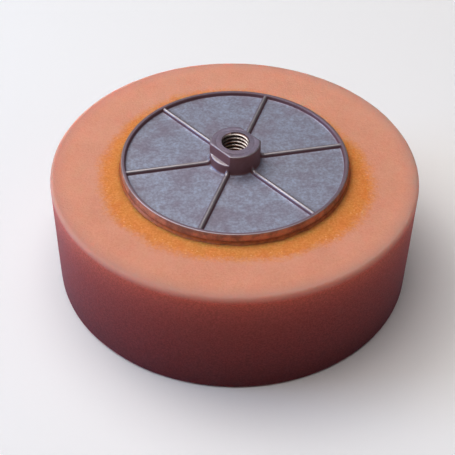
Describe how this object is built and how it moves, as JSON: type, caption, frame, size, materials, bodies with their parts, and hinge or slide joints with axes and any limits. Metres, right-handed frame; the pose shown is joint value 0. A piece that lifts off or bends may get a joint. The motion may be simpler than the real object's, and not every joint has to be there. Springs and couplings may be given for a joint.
{
  "type": "polishing pad",
  "caption": "Round foam polishing pad bonded to a ribbed cast backing plate; its hub has spanner flats and a tapped through bore for a polisher's spindle.",
  "frame": {"origin": "centre of the foam's flat working face, which the pad stands on", "axes": "+Z along the spindle axis, from the working face towards the hub"},
  "size_m": [0.17, 0.17, 0.0708],
  "materials": {
    "foam": "matte",
    "adhesive": "satin",
    "cast_metal": "satin"
  },
  "bodies": {
    "root": {"foam_pad": "foam", "adhesive_layer": "adhesive", "backing_plate": "cast_metal"}
  },
  "joints": []
}
